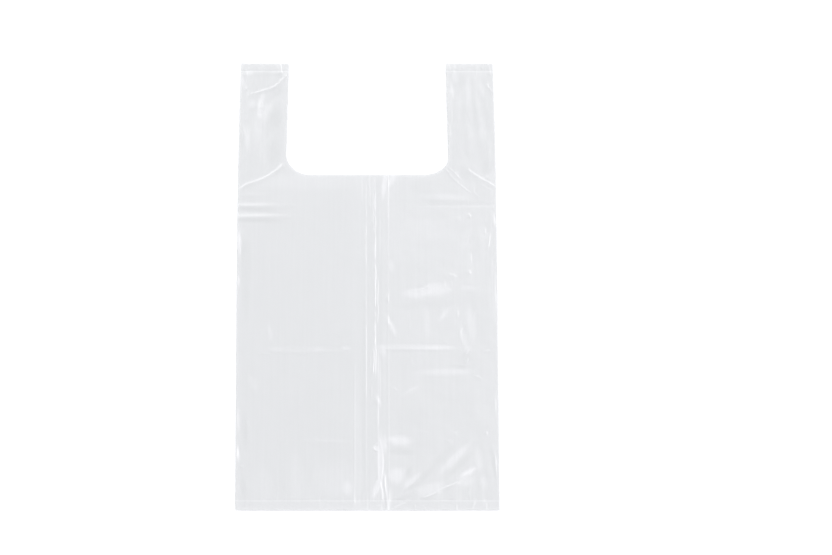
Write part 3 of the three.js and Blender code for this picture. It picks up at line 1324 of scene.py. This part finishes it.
# Polythene, blown into film: four clear plies read as one pale grey, and the soft shine picks out
# every crease. Its paler second tint is painted sheen.
PANEL = FilmFinish("blown_polythene_film", "c8c9ca", "d8d8da", 0.82)
# The same film where the gussets' leaves cling between the panels: it almost vanishes, so the bag
# keeps one even tone.
LEAF = replace(PANEL, name="clinging_polythene_film", cover=0.05)
# The same film melted together: a weld is a shade denser and a little duller.
WELD = replace(PANEL, name="heat_sealed_polythene", cover=0.86, roughness=0.33)


@dataclass(frozen=True)
class Swell:
    """One layer of small waves in the film.

    Pitch is how far apart they lie across the bag, stretch is how many times longer they are
    along it, height is how far they lift it, in millimetres, and start picks where in the noise
    they begin.
    """

    name: str
    pitch: float
    stretch: float
    height: float
    start: float


@dataclass
class FilmSlack:
    """The small gathers and waves all over the film, drawn by Geometry Nodes.

    Heat draws the film into small gathers along both welds, winding leaves fine waves along the
    draw, handles are pulled into soft streaks, and the loose half doesn't lie quite flat.
    """

    plan: BagPlan
    gathers: Swell = Swell("Gather", 6.5, 6.0, 0.75, 0.0)
    waves: Swell = Swell("Wave", 8.0, 12.0, 0.07, 11.0)
    slack: Swell = Swell("Slack", 38.0, 1.0, 1.0, 23.0)
    streaks: Swell = Swell("Streak", 9.5, 7.0, 0.62, 31.0)

    # How far gathers reach from a weld, and their share at the bag's end; where the handles' streaks
    # start and are whole; where the slack is whole, and its least; how far in from a side fold the
    # film is held and then free; and half a weld's width
    gather_reach: float = 26.0
    hem_share: float = 0.3
    handle_from: float = 80.0
    handle_full: float = 125.0
    loose_full: float = 60.0
    least_slack: float = 0.15
    held_to: float = 0.8
    free_from: float = 7.0
    weld_width: float = 0.9

    # How many levels in from the outermost plies still count as panel
    panel_depth: float = 0.49
    seed: float = 4.0

    def sizes(self) -> dict[str, float]:
        """Names the tree's inputs.

        Returns:
            Each input's name and value, with the lengths in metres.
        """
        lengths = {
            "Gather reach": self.gather_reach,
            "Weld inset": self.plan.weld_inset,
            "Weld width": self.weld_width,
            "Handle from": self.handle_from,
            "Handle full": self.handle_full,
            "Loose full": self.loose_full,
            "Held to": self.held_to,
            "Free from": self.free_from,
        }
        for swell in (self.gathers, self.waves, self.slack, self.streaks):
            lengths[f"{swell.name} pitch"] = swell.pitch
            lengths[f"{swell.name} height"] = swell.height
        return {"Seed": self.seed, **{name: length * MM for name, length in lengths.items()}}

    def tree(self) -> bpy.types.NodeTree:
        """Builds the node tree.

        Returns:
            The tree, with a named input for each size.
        """
        tree = bpy.data.node_groups.new("film_slack", "GeometryNodeTree")
        tree.interface.new_socket("Geometry", in_out="INPUT", socket_type="NodeSocketGeometry")
        tree.interface.new_socket("Geometry", in_out="OUTPUT", socket_type="NodeSocketGeometry")
        for name in self.sizes():
            tree.interface.new_socket(name, in_out="INPUT", socket_type="NodeSocketFloat")
        size = add_node(tree, "NodeGroupInput").outputs

        def result(kind: str, *values: object, **settings: object) -> bpy.types.NodeSocket:
            """Adds a node of any kind, fills its inputs in order, and gives its first output."""
            return add_node(tree, kind, settings, dict(enumerate(values))).outputs[0]

        spot = add_node(tree, "ShaderNodeSeparateXYZ", inputs={0: result("GeometryNodeInputPosition")})
        x, y = spot.outputs["X"], spot.outputs["Y"]
        away_x, away_y = (result(MATH, way, operation="ABSOLUTE") for way in (x, y))
        weld = result(MATH, self.plan.length / 2 * MM, size["Weld inset"], operation="SUBTRACT")
        past_weld = result(MATH, away_y, weld, operation="SUBTRACT")
        from_weld = result(MATH, past_weld, operation="ABSOLUTE")

        # Gathers die away from the weld, and its hem holds them down.
        gathered = result(MATH, from_weld, size["Gather reach"], operation="DIVIDE")
        gathered = result(MATH, gathered, -1.0, operation="MULTIPLY")
        gathered = result(MATH, gathered, operation="EXPONENT")
        hem = result(RAMP, past_weld, 0.0, size["Weld inset"], 1.0, self.hem_share)
        gathered = result(MATH, gathered, hem, operation="MULTIPLY")

        # Streaks lie in the handles, slack grows to the right, and the side folds stay straight.
        inward = result(MATH, self.plan.side * MM, away_x, operation="SUBTRACT")
        handle, loose, free = (
            result(RAMP, value, start, full, least, 1.0, interpolation_type="SMOOTHSTEP")
            for value, start, full, least in (
                (y, size["Handle from"], size["Handle full"], 0.0),
                (x, 0.0, size["Loose full"], self.least_slack),
                (inward, size["Held to"], size["Free from"], 0.0),
            )
        )
        lift = 0.0
        layers = ((self.gathers, gathered), (self.waves, 1.0), (self.slack, loose), (self.streaks, handle))
        for swell, weight in layers:
            across = size[f"{swell.name} pitch"]
            along = result(MATH, across, swell.stretch, operation="MULTIPLY")
            place = result(
                "ShaderNodeCombineXYZ",
                result(MATH, x, across, operation="DIVIDE"),
                result(MATH, y, along, operation="DIVIDE"),
                result(MATH, size["Seed"], swell.start, operation="ADD"),
            )
            noise = add_node(tree, NOISE, inputs={"Vector": place, "Scale": 1.0, "Detail": 2.0}).outputs[0]
            swing = result(MATH, noise, 2.0, -1.0, operation="MULTIPLY_ADD")
            swing = result(MATH, swing, size[f"{swell.name} height"], operation="MULTIPLY")
            lift = result(MATH, swing, weight, lift, operation="MULTIPLY_ADD")

        # Each ply below the front moves less, by the square of its level.
        ply = add_node(tree, "GeometryNodeInputNamedAttribute", inputs={"Name": "ply"}).outputs[0]
        share = result(MATH, ply, float(self.plan.plies - 1), operation="DIVIDE")
        share = result(MATH, share, 2.0, operation="POWER")
        for weight in (share, free):
            lift = result(MATH, lift, weight, operation="MULTIPLY")
        offset = add_node(tree, "ShaderNodeCombineXYZ", inputs={"Z": lift}).outputs[0]
        moved = {"Geometry": size["Geometry"], "Offset": offset}
        film = add_node(tree, "GeometryNodeSetPosition", inputs=moved).outputs[0]
        film = result("GeometryNodeRealizeInstances", film)

        # The two panels are the film that lies furthest from the middle of the stack.
        middle = (self.plan.plies - 1) / 2
        outer = result(MATH, ply, middle, operation="SUBTRACT")
        outer = result(MATH, outer, operation="ABSOLUTE")
        outer = result(MATH, outer, middle - self.panel_depth, operation="GREATER_THAN")
        strip = result(MATH, from_weld, size["Weld width"], operation="LESS_THAN")
        strip = result(MATH, strip, outer, operation="MULTIPLY")
        for finish, chosen in ((LEAF, True), (PANEL, outer), (WELD, strip)):
            dress = {"Geometry": film, "Selection": chosen, "Material": finish.make()}
            film = add_node(tree, "GeometryNodeSetMaterial", inputs=dress).outputs[0]
        add_node(tree, "NodeGroupOutput", inputs={"Geometry": film})
        return tree

    def apply(self, film: bpy.types.Object) -> None:
        """Runs the tree on the film and keeps its result as a plain mesh.

        Args:
            film: the pressed shell.
        """
        tree = self.tree()
        modifier = film.modifiers.new("film_slack", "NODES")
        modifier.node_group = tree
        sockets = {s.name: s.identifier for s in tree.interface.items_tree if s.in_out == "INPUT"}
        for name, value in self.sizes().items():
            modifier[sockets[name]] = value
        bpy.context.view_layer.update()
        graph = bpy.context.evaluated_depsgraph_get()
        mesh = bpy.data.meshes.new_from_object(film.evaluated_get(graph))
        film.modifiers.remove(modifier)
        film.data = mesh


@dataclass(frozen=True)
class Softbox:
    """A square soft light: where it stands round the bag, and how bright it is.

    The azimuth turns from the handles' side towards the right, and the elevation is up from
    the table. Brightness is what the light's own face shows.
    """

    name: str
    azimuth: float
    elevation: float
    brightness: float
    distance: float = 7.0
    size: float = 1.6

    def place(self) -> None:
        """Adds the light, facing the bag."""
        lamp = bpy.data.lights.new(self.name, "AREA")
        lamp.shape = "SQUARE"
        lamp.size = self.size
        lamp.energy = self.brightness * math.pi * self.size**2
        a, e = math.radians(self.azimuth), math.radians(self.elevation)
        away = Vector((math.sin(a) * math.cos(e), math.cos(a) * math.cos(e), math.sin(e)))
        light = bpy.data.objects.new(self.name, lamp)
        facing = away.to_track_quat("Z", "Y").to_matrix().to_4x4()
        light.matrix_world = Matrix.Translation(away * self.distance) @ facing
        bpy.context.scene.collection.objects.link(light)


@dataclass
class Studio:
    """A pale table under soft lights, with the camera above it.

    The camera's distance, aim and focal length are millimetres, the floor's size is metres, and
    the tilt and the arc are degrees. The softboxes stand in an arc from arc_start round to the
    right, lowest at arc_middle and highest from arc_spread away.
    """

    camera_distance: float = 1600.0
    camera_tilt: float = 9.5
    aim_ahead: float = 4.2
    focal_length: float = 68.75
    framing_shift: float = 0.0583
    floor_size: float = 6.0
    floor_tint: str = "f6f6f7"
    floor_roughness: float = 0.9
    floor_shine: float = 0.1
    room_tint: str = "fbfcfe"
    ambient: float = 0.99
    arc_count: int = 8
    arc_start: float = -48.0
    arc_step: float = 23.0
    arc_middle: float = 15.0
    arc_spread: float = 90.0
    arc_low: float = 48.0
    arc_high: float = 60.0
    arc_brightness: float = 5.3

    def add_camera(self) -> None:
        """Stands the camera over the bag, leaning a little from the foot's side."""
        data = bpy.data.cameras.new("view")
        data.sensor_width = 36.0
        data.lens = self.focal_length
        data.shift_x = self.framing_shift
        camera = bpy.data.objects.new("view", data)
        tilt = math.radians(self.camera_tilt)
        back = Vector((0, -math.sin(tilt), math.cos(tilt)))
        camera.location = Vector((0, self.aim_ahead * MM, 0)) + back * self.camera_distance * MM
        camera.rotation_euler = (tilt, 0, 0)
        bpy.context.scene.collection.objects.link(camera)
        bpy.context.scene.camera = camera

    def add_floor(self) -> None:
        """Lays the pale table top under the bag."""
        mesh = bpy.data.meshes.new("table_top")
        s = self.floor_size / 2
        mesh.from_pydata([(-s, -s, 0), (s, -s, 0), (s, s, 0), (-s, s, 0)], [], [(0, 1, 2, 3)])
        floor = bpy.data.objects.new("table_top", mesh)
        bpy.context.scene.collection.objects.link(floor)
        # Pressed laminate with a matt face: an even white with no reflection in it.
        material = bpy.data.materials.new("matt_white_laminate")
        material.use_nodes = True
        shader = material.node_tree.nodes["Principled BSDF"]
        shader.inputs["Base Color"].default_value = srgb(self.floor_tint)
        shader.inputs["Roughness"].default_value = self.floor_roughness
        shader.inputs["Specular IOR Level"].default_value = self.floor_shine
        mesh.materials.append(material)

    def add_lights(self) -> None:
        """Sets the softboxes round the table and an even light in the room."""
        for k in range(self.arc_count):
            azimuth = self.arc_start + k * self.arc_step
            off_middle = abs(azimuth - self.arc_middle) / self.arc_spread
            elevation = self.arc_low + (self.arc_high - self.arc_low) * min(1.0, off_middle)
            Softbox(f"arc_{k}", azimuth, elevation, self.arc_brightness).place()
        world = bpy.data.worlds.new("room")
        bpy.context.scene.world = world
        world.use_nodes = True
        backdrop = world.node_tree.nodes["Background"]
        backdrop.inputs["Color"].default_value = srgb(self.room_tint)
        backdrop.inputs["Strength"].default_value = self.ambient
        bpy.context.scene.view_settings.view_transform = "Standard"


def main() -> None:
    """Builds the studio and the bag, and reports the piece."""
    logging.basicConfig(level=logging.INFO, format="%(message)s")
    low, high = (Vector(corner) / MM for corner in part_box("bag"))
    plan = BagPlan(high.x - low.x, high.y - low.y, high.z - low.z)
    studio = Studio()
    studio.add_camera()
    studio.add_floor()
    studio.add_lights()

    areas = [left_handle(), right_handle(), left_side(), middle_strip(plan)]
    areas += [foot_pleat(), right_side(), right_corner()]
    shell = FilmShell(plan, areas)
    film = shell.build()
    FilmSlack(plan).apply(film)
    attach(film, "root")
    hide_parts("bag")
    faces = len(film.data.polygons)
    LOG.info("bag_film: %d faces, %.4f m2 of film", faces, plan.film_area() * MM * MM)


if __name__ == "__main__":
    main()
